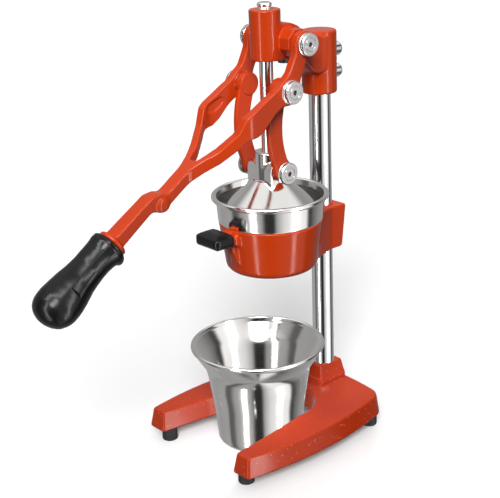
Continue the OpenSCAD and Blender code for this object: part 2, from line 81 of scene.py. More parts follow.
def rounded(points, radius=1.0, closed=True, turn=10.0):
    """Turns each corner of an outline into an arc. A point is (u, v) or (u, v, its own radius).
    Gives the points and the normals that lie to the right of the way they run."""
    count = len(points)
    spots, normals = [], []
    for i, point in enumerate(points):
        here = np.array(point[:2], float)
        wish = point[2] if len(point) > 2 else radius
        ends = not closed and i in (0, count - 1)
        before = np.array(points[i - 1][:2], float) - here if i or closed else None
        after = np.array(points[(i + 1) % count][:2], float) - here
        if ends:
            way = after if i == 0 else -before
            way = way / np.linalg.norm(way)
            spots.append(here)
            normals.append((way[1], -way[0]))
            continue
        reach_a, reach_b = np.linalg.norm(before), np.linalg.norm(after)
        a, b = before / reach_a, after / reach_b
        half = math.acos(max(-1.0, min(1.0, float(a @ b)))) / 2
        flat = np.array((-a[1], a[0]))
        if wish <= 0 or half > math.radians(89):
            mean = flat + np.array((b[1], -b[0]))
            spots.append(here)
            normals.append(mean / np.linalg.norm(mean))
            continue
        reach = min(wish / math.tan(half), 0.49 * reach_a, 0.49 * reach_b)
        size = reach * math.tan(half)
        middle = here + (a + b) / np.linalg.norm(a + b) * size / math.sin(half)
        start, stop = here + a * reach - middle, here + b * reach - middle
        first = math.atan2(start[1], start[0])
        sweep = (math.atan2(stop[1], stop[0]) - first + math.pi) % (2 * math.pi) - math.pi
        side = 1.0 if start @ flat > 0 else -1.0
        steps = max(2, math.ceil(abs(sweep) / math.radians(turn)))
        for k in range(steps + 1):
            angle = first + sweep * k / steps
            out = np.array((math.cos(angle), math.sin(angle)))
            spots.append(middle + out * size)
            normals.append(out * side)
    return np.array(spots), np.array(normals)


# ---------- signed distances ----------

def smin(a, b, k):
    h = np.clip(0.5 + 0.5 * (b - a) / k, 0, 1)
    return b * (1 - h) + a * h - k * h * (1 - h)


def smax(a, b, k):
    return -smin(-a, -b, k)


def outline(u, v, points):
    """Signed distance in a plane to a closed outline."""
    near = np.full(np.broadcast(u, v).shape, 1e9)
    sign = np.ones(near.shape)
    for (au, av), (bu, bv) in zip(points, np.roll(points, -1, axis=0)):
        eu, ev = bu - au, bv - av
        wu, wv = u - au, v - av
        t = np.clip((wu * eu + wv * ev) / (eu * eu + ev * ev), 0, 1)
        near = np.minimum(near, (wu - eu * t) ** 2 + (wv - ev * t) ** 2)
        above, below, left = v >= av, v < bv, eu * wv > ev * wu
        flip = (above & below & left) | ~(above | below | left)
        sign = np.where(flip, -sign, sign)
    return sign * np.sqrt(near)


def box2(u, v, u0, u1, v0, v1, r=0.0):
    du = np.abs(u - (u0 + u1) / 2) - (u1 - u0) / 2 + r
    dv = np.abs(v - (v0 + v1) / 2) - (v1 - v0) / 2 + r
    return np.hypot(np.maximum(du, 0), np.maximum(dv, 0)) + np.minimum(np.maximum(du, dv), 0) - r


def slab(w, low, high):
    return np.abs(w - (low + high) / 2) - (high - low) / 2


def disc(u, v, at, r):
    return np.hypot(u - at[0], v - at[1]) - r


# ---------- meshes ----------

CORNERS = np.array([(i, j, k) for i in (0, 1) for j in (0, 1) for k in (0, 1)])
EDGES = [
    (a, b) for a in range(8) for b in range(a + 1, 8)
    if abs(CORNERS[a] - CORNERS[b]).sum() == 1
]


def skin(shape, low, high, step):
    """Surface of a signed distance: one vertex per crossed cell, then pulled onto the surface."""
    axes = [np.arange(a, b + step, step) for a, b in zip(low, high)]
    size = [len(a) for a in axes]
    grid = np.broadcast_to(
        shape(axes[0][:, None, None], axes[1][None, :, None], axes[2][None, None, :]), size
    )
    solid = grid < 0
    hits = np.zeros([n - 1 for n in size], np.int8)
    for i, j, k in CORNERS:
        hits += solid[i:size[0] - 1 + i, j:size[1] - 1 + j, k:size[2] - 1 + k]
    cells = np.argwhere((hits > 0) & (hits < 8))
    name = np.full(hits.shape, -1, np.int64)
    name[tuple(cells.T)] = np.arange(len(cells))
    values = np.stack([grid[tuple((cells + c).T)] for c in CORNERS], axis=1)
    total, count = np.zeros((len(cells), 3)), np.zeros((len(cells), 1))
    for a, b in EDGES:
        fa, fb = values[:, a], values[:, b]
        crossed = (fa < 0) != (fb < 0)
        t = np.where(crossed, fa / np.where(crossed, fa - fb, 1), 0)[:, None]
        spot = CORNERS[a] + (CORNERS[b] - CORNERS[a]) * t
        total += np.where(crossed[:, None], spot, 0)
        count += crossed[:, None]
    spots = np.array([a[0] for a in axes]) + step * (cells + total / count)
    faces = []
    for axis in range(3):
        one, two = (axis + 1) % 3, (axis + 2) % 3
        here = [slice(None)] * 3
        there = [slice(None)] * 3
        here[axis], there[axis] = slice(0, -1), slice(1, None)
        change = solid[tuple(here)] != solid[tuple(there)]
        edge = np.argwhere(change)
        keep = np.all((edge[:, [one, two]] > 0), axis=1)
        keep &= (edge[:, one] < size[one] - 1) & (edge[:, two] < size[two] - 1)
        edge = edge[keep]
        quad = []
        for d_one, d_two in ((-1, -1), (0, -1), (0, 0), (-1, 0)):
            cell = edge.copy()
            cell[:, one] += d_one
            cell[:, two] += d_two
            quad.append(name[tuple(cell.T)])
        quad = np.stack(quad, axis=1)
        starts_in = solid[tuple(edge.T)]
        faces.append(np.where(starts_in[:, None], quad, quad[:, ::-1]))
    faces = np.concatenate(faces)
    for _ in range(2):
        value, slope = shape(*spots.T), gradient(shape, spots)
        reach = np.clip(value, -step / 2, step / 2) / np.maximum((slope ** 2).sum(1), 0.2)
        spots = spots - slope * reach[:, None]
    slope = gradient(shape, spots)
    normals = slope / np.maximum(np.linalg.norm(slope, axis=1), 1e-6)[:, None]
    return spots, [tuple(f) for f in faces.tolist()], normals


def gradient(shape, spots, gap=0.05):
    sides = []
    for axis in range(3):
        shift = np.zeros(3)
        shift[axis] = gap
        sides.append((shape(*(spots + shift).T) - shape(*(spots - shift).T)) / (2 * gap))
    return np.stack(sides, axis=1)


def turned(profile, segments=96, radius=0.5, turn=15.0):
    """A turned shape about +Z from (r, z) points, listed with the outside to the right."""
    spots, flats = rounded(profile, radius, closed=False, turn=turn)
    angle = np.linspace(0, 2 * math.pi, segments, endpoint=False)
    verts, normals, rings = [], [], []
    for (r, z), (nr, nz) in zip(spots, flats):
        first = len(verts)
        if r < 1e-6:
            verts.append((0, 0, z))
            normals.append((0, 0, 1 if nz > 0 else -1))
            rings.append([first] * segments)
            continue
        for a in angle:
            verts.append((r * math.cos(a), r * math.sin(a), z))
            normals.append((nr * math.cos(a), nr * math.sin(a), nz))
        rings.append(list(range(first, first + segments)))
    faces = []
    for low, high in zip(rings, rings[1:]):
        for j in range(segments):
            k = (j + 1) % segments
            corner = [low[j], low[k], high[k], high[j]]
            face = tuple(dict.fromkeys(corner))
            if len(face) > 2:
                faces.append(face)
    return np.array(verts), faces, np.array(normals)


def placed(shell, matrix):
    """The same shell under a 4x4 matrix, its faces turned back if the matrix mirrors it."""
    verts, faces, normals = shell
    m = np.array(matrix)
    moved = verts @ m[:3, :3].T + m[:3, 3]
    turned_normals = normals @ np.linalg.inv(m[:3, :3])
    if np.linalg.det(m[:3, :3]) < 0:
        faces = [f[::-1] for f in faces]
    return moved, faces, turned_normals


def shift(x, y, z):
    return Matrix.Translation((x, y, z))


def along(direction):
    """Turns +Z onto a direction."""
    return Vector(direction).to_track_quat("Z", "X").to_matrix().to_4x4()


MIRROR = Matrix.Diagonal((-1, 1, 1, 1))


# Finishes that show up in the reflections of others; bright metal and the base are kept out of them
MIRRORED = ("gloss_enamel", "dull_steel", "black_plastic", "black_gloss_plastic")


def piece(name, shells, finish, body, *nodes):
    """Makes one mesh object from shells, and says which body it rides and which nodes it shows."""
    verts = np.concatenate([s[0] for s in shells]) * MM
    normals = np.concatenate([s[2] for s in shells])
    faces, start = [], 0
    for shell in shells:
        faces += [tuple(i + start for i in face) for face in shell[1]]
        start += len(shell[0])
    mesh = bpy.data.meshes.new(name)
    mesh.from_pydata(verts.tolist(), [], faces)
    mesh.shade_smooth()
    mesh.normals_split_custom_set_from_vertices(normals.tolist())
    obj = bpy.data.objects.new(name, mesh)
    bpy.context.scene.collection.objects.link(obj)
    mesh.materials.append(FINISH[finish])
    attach(obj, body)
    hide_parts(*nodes)
    obj.visible_glossy = finish in MIRRORED
    return obj


# ---------- materials ----------

def new_material(name):
    material = bpy.data.materials.new(name)
    material.use_nodes = True
    nodes = material.node_tree.nodes
    return material, nodes, material.node_tree.links, nodes["Principled BSDF"]


def noise(nodes, links, scale, detail=3.0, rough=0.5):
    where = nodes.new("ShaderNodeTexCoord")
    cloud = nodes.new("ShaderNodeTexNoise")
    cloud.inputs["Scale"].default_value = scale
    cloud.inputs["Detail"].default_value = detail
    cloud.inputs["Roughness"].default_value = rough
    links.new(where.outputs["Object"], cloud.inputs["Vector"])
    return cloud


def ramp(nodes, links, source, stops):
    band = nodes.new("ShaderNodeValToRGB")
    points = band.color_ramp.elements
    while len(points) < len(stops):
        points.new(0.5)
    for point, (at, colour) in zip(points, stops):
        point.position = at
        point.color = (*colour, 1) if len(colour) == 3 else colour
    links.new(source, band.inputs["Fac"])
    return band.outputs["Color"]


def grey(v):
    return (v, v, v)


def blend(nodes, links, share, first, second):
    """Colour mix from first to second by share. Second may be a socket or a plain colour."""
    mix = nodes.new("ShaderNodeMix")
    mix.data_type = "RGBA"
    links.new(share, mix.inputs["Factor"])
    links.new(first, mix.inputs["A"])
    if isinstance(second, tuple):
        mix.inputs["B"].default_value = second
    else:
        links.new(second, mix.inputs["B"])
    return mix.outputs["Result"]


def bump(nodes, links, shader, source, strength, distance):
    bumps = nodes.new("ShaderNodeBump")
    bumps.inputs["Strength"].default_value = strength
    bumps.inputs["Distance"].default_value = distance
    links.new(source, bumps.inputs["Height"])
    links.new(bumps.outputs["Normal"], shader.inputs["Normal"])


def enamel(name, dark, light, specks=False):
    """Thick glossy paint over a casting: soft colour drift, slight orange peel."""
    material, nodes, links, shader = new_material(name)
    drift = noise(nodes, links, 9.0)
    colour = ramp(nodes, links, drift.outputs["Fac"], [(0.3, dark), (0.7, light)])
    shader.inputs["Specular IOR Level"].default_value = 0.2
    if specks:
        colour = speckle(nodes, links, colour)
    links.new(colour, shader.inputs["Base Color"])
    patch = noise(nodes, links, 60.0)
    gloss = ramp(nodes, links, patch.outputs["Fac"], [(0.35, grey(0.13)), (0.7, grey(0.21))])
    links.new(gloss, shader.inputs["Roughness"])
    peel = noise(nodes, links, 420.0, 2.0)
    bump(nodes, links, shader, peel.outputs["Fac"], 0.08, 0.0003)
    return material


SPECKS = [  # (grains per metre, grain size, tint, share of cells without a grain)
    (420.0, 0.20, (0.85, 0.50, 0.38, 1), 0.80),
    (300.0, 0.22, (0.12, 0.01, 0.008, 1), 0.86),
]


def speckle(nodes, links, colour):
    """Fine pale and dark grains in the paint, fewer on faces that point up."""
    where = nodes.new("ShaderNodeTexCoord")
    facing = nodes.new("ShaderNodeSeparateXYZ")
    links.new(where.outputs["Normal"], facing.inputs[0])
    upright = ramp(nodes, links, facing.outputs["Z"], [(0.4, grey(1)), (0.9, grey(0.25))])
    for scale, size, tint, share in SPECKS:
        grain = nodes.new("ShaderNodeTexVoronoi")
        grain.inputs["Scale"].default_value = scale
        links.new(where.outputs["Object"], grain.inputs["Vector"])
        factor = ramp(nodes, links, grain.outputs["Distance"], [(size * 0.7, grey(1)), (size, grey(0))])
        pick = nodes.new("ShaderNodeSeparateColor")
        links.new(grain.outputs["Color"], pick.inputs["Color"])
        some = ramp(nodes, links, pick.outputs["Red"], [(share, grey(0)), (share + 0.05, grey(1))])
        for other in (some, upright):
            both = nodes.new("ShaderNodeMath")
            both.operation = "MULTIPLY"
            links.new(factor, both.inputs[0])
            links.new(other, both.inputs[1])
            factor = both.outputs[0]
        colour = blend(nodes, links, factor, colour, tint)
    return colour


def metal(name, colour, low, high, grain=(0, 0, 0), depth=0.0):
    """Bare or plated metal. grain stretches the fine marks along an axis."""
    material, nodes, links, shader = new_material(name)
    shader.inputs["Metallic"].default_value = 1.0
    tint = noise(nodes, links, 25.0)
    darker = tuple(c * 0.93 for c in colour)
    links.new(
        ramp(nodes, links, tint.outputs["Fac"], [(0.35, darker), (0.65, colour)]),
        shader.inputs["Base Color"],
    )
    marks = noise(nodes, links, 1.0, 2.0)
    if any(grain):
        stretch = nodes.new("ShaderNodeMapping")
        stretch.inputs["Scale"].default_value = grain
        links.new(marks.inputs["Vector"].links[0].from_socket, stretch.inputs["Vector"])
        links.new(stretch.outputs["Vector"], marks.inputs["Vector"])
    else:
        marks.inputs["Scale"].default_value = 90.0
    links.new(
        ramp(nodes, links, marks.outputs["Fac"], [(0.3, grey(low)), (0.7, grey(high))]),
        shader.inputs["Roughness"],
    )
    if depth:
        bump(nodes, links, shader, marks.outputs["Fac"], depth, 0.0002)
    return material


def plastic(name, colour, low, high, peel, shine=0.3):
    material, nodes, links, shader = new_material(name)
    lighter = tuple(c * 1.5 + 0.001 for c in colour)
    cloud = noise(nodes, links, 30.0)
    links.new(
        ramp(nodes, links, cloud.outputs["Fac"], [(0.35, colour), (0.7, lighter)]),
        shader.inputs["Base Color"],
    )
    links.new(
        ramp(nodes, links, cloud.outputs["Fac"], [(0.3, grey(low)), (0.7, grey(high))]),
        shader.inputs["Roughness"],
    )
    shader.inputs["Specular IOR Level"].default_value = shine
    grain = noise(nodes, links, 900.0, 2.0)
    bump(nodes, links, shader, grain.outputs["Fac"], peel, 0.0003)
    return material


FINISH = {
    "gloss_enamel": enamel("gloss_enamel", (0.57, 0.044, 0.004), (0.66, 0.056, 0.006)),
    "speckled_enamel": enamel("speckled_enamel", (0.43, 0.031, 0.005), (0.52, 0.042, 0.007), True),
    "polished_chrome": metal("polished_chrome", (0.90, 0.90, 0.91), 0.09, 0.12),
    "stainless": metal("stainless", (0.88, 0.86, 0.84), 0.11, 0.16, (40, 40, 900), 0.02),
    "satin_steel": metal("satin_steel", (0.68, 0.68, 0.67), 0.16, 0.22),
    # dull_steel is dark; on the bowl's lining it is painted shade inside the bowl.
    "dull_steel": metal("dull_steel", (0.36, 0.35, 0.34), 0.30, 0.42),
    "zinc_steel": metal("zinc_steel", (0.58, 0.60, 0.62), 0.28, 0.42),
    "black_oxide": metal("black_oxide", (0.035, 0.035, 0.038), 0.30, 0.45),
    "bush_brass": metal("bush_brass", (0.55, 0.36, 0.13), 0.25, 0.40),
    "black_plastic": plastic("black_plastic", (0.006, 0.006, 0.006), 0.18, 0.28, 0.08, 0.22),
    "black_gloss_plastic": plastic("black_gloss_plastic", (0.005, 0.005, 0.005), 0.18, 0.28, 0.05, 0.22),
    "rubber_black": plastic("rubber_black", (0.014, 0.014, 0.015), 0.6, 0.8, 0.3),
}


def finish_cad_nodes():
    """The small pieces that stay as the frame gives them get their slot's material."""
    slots = {row["node"]: row["material_slot"] for row in frame["record"]["subparts"]}
    for name, obj in frame["nodes"].items():
        obj.data.materials.clear()
        obj.data.materials.append(FINISH[slots[name]])


# ---------- base ----------

ARC_R = 455.0
ARC_Y = -28.0
HALF_WIDTH = 93.6
DRAFT = 4.0
BACK = 103.5
FRONT = -117.5


def mouth(x, y, grow):
    """The opening that the cup stands in."""
    across = np.abs(x)
    flare = rounded([
        (-10, -5), (49.6, -5), (52.9, -28), (57.6, -57), (65.5, -118), (68, -150), (-10, -150),
    ], 25)[0]
    return np.minimum(disc(across, y, (0, -5), 49.6), outline(across, y, flare)) - grow


def base_plan(x, y, drop):
    """Plan of the base at a distance drop below its top face."""
    across = np.abs(x)
    lean = drop * DRAFT / (BASE_HIGH - BASE_LOW)
    side = np.hypot(across + ARC_R - HALF_WIDTH, y - ARC_Y) - ARC_R - lean
    back = np.hypot(x, y - (BACK - 400)) - 400 - lean * 0.6
    plan = smax(side, back, 14.0)
    plan = smax(plan, FRONT - lean - y, 2.5)
    return smax(plan, -mouth(x, y, -lean * 0.9), 2.5)


def base_shape(x, y, z):
    plan = base_plan(x, y, np.clip(BASE_HIGH - z, 0, 30))
    body = smax(plan, slab(z, BASE_LOW, BASE_HIGH), 2.6)
    pocket = smax(base_plan(x, y, 0) + 6, z - (BASE_HIGH - 6), 3)
    for at in FEET:
        pocket = smax(pocket, -disc(x, y, at, 12), 3)
    pocket = smax(pocket, -disc(x, y, (0, COLUMN_Y), 24), 3)
    body = smax(body, -pocket, 1.5)
    lower = smax(box2(x, y, -18.4, 18.4, 55, 97.5, 2), slab(z, 20, 48), 1.2)
    rise = np.clip((z - 48) / 15.5, -0.2, 1.2)
    upper = smax(
        smax(np.abs(x) - (18.0 - 3.9 * rise), slab(y, 55.6, 97.0) + 2.2 * rise, 2.4),
        slab(z, 40, 63.5), 2.2,
    )
    upper = smax(upper, 56 + 4.2 * rise - y, 2.4)
    block = np.minimum(lower, upper)
    body = smin(body, block, 1.6)
    return np.maximum(body, -disc(x, y, (0, COLUMN_Y), COLUMN_R + 0.1))


def make_base():
    shell = skin(base_shape, (-100, -126, 11), (100, 109, 67), 1.5)
    piece("base_look", [shell], "speckled_enamel", "frame", "base_casting")
    foot = turned([
        (2.1, 5), (5, 5), (5, 0.3), (6, 0), (8.2, 0, 0.8), (9, 1.4, 1), (9, 9.4), (8.5, 10), (9, 10.6),
        (9, BASE_LOW), (2.1, BASE_LOW),
    ], 64, 0.3)
    feet = [placed(foot, shift(x, y, 0)) for x, y in FEET]
    piece("feet_look", feet, "rubber_black", "frame", "rubber_feet")


# ---------- column and rod ----------

def make_column():
    tube = turned([(0, 23), (COLUMN_R, 23), (COLUMN_R, 454.5), (0, 454.5)], 128)
    piece("column_look", [placed(tube, shift(0, COLUMN_Y, 0))], "polished_chrome", "frame", "column")
    rod = turned([(0, 302.4), (ROD_R, 302.4), (ROD_R, 494.5), (0, 494.5)], 96)
    piece("rod_look", [rod], "polished_chrome", "press", "guide_rod")
    cap = turned([
        (0, 494.55), (7.6, 494.55), (7.6, 495.3, 0.4), (6.8, 496.1, 0.6), (7.9, 497.2, 0.8),
        (7.9, 499.8, 1), (6.2, 501, 1), (0, 501),
    ], 96)
    piece("rod_cap_look", [cap], "polished_chrome", "press", "rod_cap")


# ---------- head ----------

CLAMP_R = 19.8
BRIDGE = [
    (4, 441), (32, 441, 8), (42, 431, 10), (57, 418, 14), (70, 417, 10), (72, 455, 4), (60, 459, 4),
    (50, 462, 10), (36, 473.5, 14), (18, 477.4, 12), (4, 470, 6),
]


def head_shape(x, y, z):
    across = np.abs(x)
    sleeve_r = 16.5 + 0.5 * (z - 440) / 54
    sleeve = smax(np.hypot(x, y) - sleeve_r, slab(z, 440, 494), 2.2)
    barrel = smax(disc(y, z, PIVOT, 18.8), across - 13, 2.0)
    side = outline(y, z, rounded(BRIDGE)[0])
    bridge = smax(side, across - 13, 3)
    cheek = smax(smax(side, across - 18.3, 2.2), 33 - y, 10)
    cheek = smax(cheek, z - 462, 3.2)
    clamp = smax(disc(x, y, (0, COLUMN_Y), CLAMP_R), slab(z, 392, 462), 3)
    cheek = smax(cheek, y - 89, 2)
    turn = math.radians(45)
    dy, dz = y - PIVOT[0], z - PIVOT[1]
    facets = np.maximum(np.abs(dy), np.abs(dz))
    facets = smax(facets, np.abs(dy * math.cos(turn) + dz * math.sin(turn)), 0.9)
    facets = smax(facets, np.abs(dy * math.cos(turn) - dz * math.sin(turn)), 0.9)
    boss = smax(facets - 14.6, across - BOSS_X, 1.5)
    body = smin(smin(barrel, bridge, 4), sleeve, 5)
    body = smin(body, boss, 2.5)
    body = smin(body, cheek, 5)
    body = smin(body, clamp, 3.5)
    column_bore = np.maximum(disc(x, y, (0, COLUMN_Y), COLUMN_R + 0.15), z - 455)
    body = smax(body, -column_bore, 0.6)
    body = smax(body, -disc(x, y, (0, 0), 8.6), 0.8)
    return body


def make_head():
    shell = skin(head_shape, (-35, -20, 388), (35, 104, 498), 1.1)
    piece("head_look", [shell], "gloss_enamel", "frame", "head_casting")
    bolt = turned([
        (0, 10), (8, 10), (8, 27.8, 1.6), (6.5, 30.5, 1.5), (0, 30.5),
    ], 64, 0.4)
    bolts = [placed(bolt, shift(0, COLUMN_Y, z) @ along((0, 1, 0))) for z in (437.5, 413)]
    piece("clamp_bolts_look", bolts, "polished_chrome", "frame", "head_clamp_bolts")
    screw = turned([
        (0, 435.4), (2.9, 435.4), (2.9, 433.4, 0.2), (5.9, 433.2, 0.6), (6.5, 433.9, 0.6), (6.5, 438.7),
        (4, 438.7), (4, 453.2), (0, 453.2),
    ], 48, 0.2)
    piece("lock_screw_look", [placed(screw, shift(0, 25.5, 0))], "black_oxide", "frame", "pivot_lock_screw")


SOCKET_R = 2.7


def knob(x0, x1, r=12.2):
    """Polished knob along +X: flange, grooved side, and a face with one turned ring."""
    shape = turned([
        (0, x0), (r - 0.3, x0), (r, x0 + 0.3), (r, x0 + 1.0), (r - 1.1, x0 + 1.4), (r - 1.1, x0 + 2.1),
        (r, x0 + 2.5), (r, x1 - 0.9, 0.6), (r - 0.9, x1, 0.5), (7.5, x1, 0.1), (7.3, x1 - 0.8, 0.1),
        (6.7, x1 - 0.8, 0.1), (6.5, x1, 0.1), (SOCKET_R, x1, 0.15), (SOCKET_R, x1 - 2.6, 0.1),
        (0, x1 - 2.6),
    ], 96, 0.12)
    return placed(shape, along((1, 0, 0)))


def socket_shade_lining(x1):
    """Dark hex wall and floor inside a knob's socket: painted shade in the hole, in a black oxide finish.
    """
    floor, mouth_x = x1 - 2.5, x1 - 0.25
    corners = [(SOCKET_R - 0.05, math.radians(60 * k)) for k in range(6)]
    rim = [(mouth_x, r * math.cos(a), r * math.sin(a)) for r, a in corners]
    inner = [(floor, 0.86 * y, 0.86 * z) for _, y, z in rim]
    back = [(floor - 0.05, y, z) for _, y, z in rim]
    verts = np.array(rim + inner + back + [(floor, 0, 0), (floor - 0.05, 0, 0)])
    faces = []
    for k in range(6):
        n = (k + 1) % 6
        faces.append((k, n, 6 + n, 6 + k))
        faces.append((6 + k, 6 + n, 18))
        faces.append((n, k, 12 + k, 12 + n))
        faces.append((12 + n, 12 + k, 19))
    faces = [f[::-1] for f in faces]
    return verts, faces, mesh_normals(verts, faces)


def pair(shell, at):
    """The shell at (y, z) and its mirror image on the far side."""
    near = placed(shell, shift(0, at[0], at[1]))
    return [near, placed(near, MIRROR)]


def make_knobs():
    thrust = placed(turned([(0, 43.1), (12.8, 43.1), (12.8, 43.9), (0, 43.9)], 64, 0.2), along((1, 0, 0)))
    inner_washer = placed(turned([
        (6, 32.45), (12.8, 32.45), (12.8, 32.95), (6, 32.95), (6, 32.45),
    ], 64, 0.1), along((1, 0, 0)))
    for name, at, body, node, x0, x1 in (
        ("pivot", PIVOT, "frame", "lever_pivot_knobs", KNOB_X, 50.1),
        ("knee", KNEE, "lever", "link_pivot_knobs", KNOB_X, 50.1),
        ("press", LUG, "press", "press_pivot_knobs", 30.3, 36.5),
    ):
        piece(name + "_knobs_look", pair(knob(x0, x1), at), "satin_steel", body, node)
        # The black socket linings are painted shade inside the knobs' hex sockets.
        piece(name + "_socket_shade_look", pair(socket_shade_lining(x1), at), "black_oxide", body, node)
    piece("knee_washers_look", pair(thrust, KNEE) + pair(inner_washer, KNEE), "satin_steel", "lever",
          "knob_washers")


# ---------- strainer ----------

HOLDER_TOP = 262.0
HOLDER_LOW = 206.5


def holder_shape(x, y, z):
    across = np.abs(x)
    away = np.hypot(x, y)
    ring = outline(away, z, rounded([
        (-5, HOLDER_LOW), (50.9, HOLDER_LOW, 8.5), (58.4, HOLDER_TOP, 1.2), (-5, HOLDER_TOP),
    ])[0])
    plan = outline(across, y, rounded([
        (-5, 30), (34, 36), (26, 56, 10), (19, 75, 8), (19, 101, 2), (-5, 101),
    ])[0])
    side = outline(y, z, rounded([(30, 209.5), (94, 209.5, 4), (100.5, 260.5, 2.5), (30, 260.5)])[0])
    body = smin(ring, smax(plan, side, 2.2), 5)
    stub = smax(box2(x, z, -10.5, 10.5, 246, 257.5, 3), slab(y, -66.8, -50), 1.0)
    fin = outline(y, z, rounded([(-66, 248), (-60, 234, 14), (-52, 223), (-47, 223), (-47, 248)])[0])
    fin = smax(fin, across - 5, 2.5)
    body = smin(body, smin(stub, fin, 3), 6)
    tongue = smax(box2(x, z, -7, 7, 253.5, 262), slab(y, -84, -60), 0.5)
    body = np.minimum(body, tongue)
    bowl = smax(away - (47.4 + (z - 214) * 7.5 / 48), 214 - z, 3)
    body = smax(body, -bowl, 1.0)
    body = smax(body, -(away - 36), 1.5)
    return smax(body, -disc(x, y, (0, COLUMN_Y), COLUMN_R + 0.15), 0.6)


def grip_block_shape(x, y, z):
    """T grip with hipped top and chamfered underside."""
    across, from_mid = np.abs(x), y + 80.9
    plan = box2(x, y, -19.5, 19.5, -94.5, -67.3, 6)
    hip_side = (across - 19.5) * 0.5 + (z - 261) * 0.87
    hip_front = (-from_mid - 13.6) * 0.55 + (z - 261) * 0.835
    hip_back = (from_mid - 13.6) * 0.6 + (z - 261) * 0.8
    body = smax(plan, slab(z, 249.5, 266), 2.5)
    for hip in (hip_side, hip_front, hip_back):
        body = smax(body, hip, 1.8)
    under = np.maximum(across - 19.5, np.abs(from_mid) - 13.6) * 0.7 - (z - 253) * 0.7
    body = smax(body, under, 1.8)
    slot = smax(box2(x, z, -7.2, 7.2, 253.3, 262.2), -84.2 - y, 0.3)
    return smax(body, -slot, 0.3)


def make_holder():
    shell = skin(holder_shape, (-60, -87, 203), (60, 103, 265), 1.25)
    piece("holder_look", [shell], "gloss_enamel", "frame", "strainer_holder")
    grip = skin(grip_block_shape, (-22, -97, 247), (22, -65, 268.4), 0.7)
    piece("holder_grip_look", [grip], "black_plastic", "frame", "holder_grip")


def make_strainer():
    rim_r, rim_z, bead = 63.0, 289.8, 2.75
    rim = [(rim_r + bead * math.cos(a), rim_z + bead * math.sin(a), 0)
           for a in np.radians(np.arange(-75, 181, 10))]
    outer = [(46.5, 222, 0.2), (54.2, HOLDER_TOP, 0.4), (58.7, HOLDER_TOP, 4), (60.35, 286.6, 1)]
    inner = [(59.2, 285, 2), (57.6, 263.4, 4), (53.4, 263.2, 1.5), (46.7, 223.3, 0.3),
             (43.8, 223.2, 0.2), (43.8, 222, 0.2), (46.5, 222)]
    piece("bowl_look", [turned([*outer, *rim, *inner], 192, 0.4, 10)], "stainless", "frame",
          "strainer_bowl")
    # The bowl's inside is a thin dull steel sheet 0.15 mm inside the wall, dark for painted shade inside
    # the bowl.
    shade_profile = [(59.05, 285.4, 0.1), (57.45, 263.55, 4), (53.4, 263.35, 1.5), (46.85, 224, 0.3)]
    sheet = [*shade_profile, *[(r + 0.1, z - 0.1, k) for r, z, k in shade_profile[::-1]], shade_profile[0]]
    piece("bowl_shade_lining_look", [turned(sheet, 192, 0.1, 10)], "dull_steel", "frame", "strainer_bowl")
    piece("dome_look", [reamer()], "dull_steel", "frame", "strainer_dome")


def reamer():
    """Fluted dome: a ribbed half ellipsoid that ends in a plain tip."""
    low, radius, height, flutes = 224.7, 31.0, 61.0, 10
    rows, columns = 40, 240
    turn = np.linspace(0, 2 * math.pi, columns, endpoint=False)
    verts = []
    for i in range(rows):
        up = math.pi / 2 * i / rows
        fade = min(1.0, (1 - i / rows) * 3)
        rib = 1.6 * np.abs(np.cos(flutes / 2 * turn)) ** 3 * fade
        away = (radius + rib) * math.cos(up)
        verts.append(np.stack([away * np.cos(turn), away * np.sin(turn),
                               np.full(columns, low + height * math.sin(up))], axis=1))
    verts = np.concatenate(verts + [np.array([(0, 0, low + height)])])
    faces = []
    for i in range(rows - 1):
        for j in range(columns):
            k = (j + 1) % columns
            faces.append((i * columns + j, i * columns + k, (i + 1) * columns + k, (i + 1) * columns + j))
    last, tip = (rows - 1) * columns, rows * columns
    faces += [(last + j, last + (j + 1) % columns, tip) for j in range(columns)]
    return verts, faces, mesh_normals(verts, faces)


def mesh_normals(verts, faces):
    """Smooth vertex normals from the faces around each vertex."""
    total = np.zeros_like(verts)
    for size in (3, 4):
        some = np.array([f for f in faces if len(f) == size], int)
        if len(some):
            flat = np.cross(verts[some[:, 2]] - verts[some[:, 0]],
                            verts[some[:, size - 1]] - verts[some[:, 1]])
            for corner in range(size):
                np.add.at(total, some[:, corner], flat)
    return total / np.maximum(np.linalg.norm(total, axis=1), 1e-9)[:, None]


# ---------- lever ----------

LEVER_SIDE = [
    (-6, 424, 2), (-28.5, 413.4, 30), (-56.2, 397.9, 12), (-63.6, 392.6, 6), (-71.5, 377, 12),
    (-88.6, 360.8, 25), (-118, 344.5, 60), (-147, 325.2, 8), (-155, 326.9, 6), (-166.5, 325.6, 10),
    (-216, 294, 0), (-208, 281.5, 0), (-167, 309.8, 8), (-157, 307.6, 6), (-147.5, 310.5, 8),
    (-124.5, 325.9, 40), (-88, 347.3, 30), (-71.5, 360.8, 8), (-63.5, 369.6, 8), (-50, 371.4, 6),
    (-40, 377.5, 8), (-25.2, 391.6, 30), (-6, 402, 2),
]
LEVER_OUT = [
    (-5, -222), (10.4, -222), (9.2, -175, 60), (9.2, -117, 20), (15.5, -103, 20), (37.5, -70, 14),
    (43, -60, 16), (43, 40), (-5, 40),
]
LEVER_IN = [
    (-5, -105), (6, -105, 5), (12, -90, 10), (28.5, -66, 12), (33, -55, 14), (33, 50), (-5, 50),
]


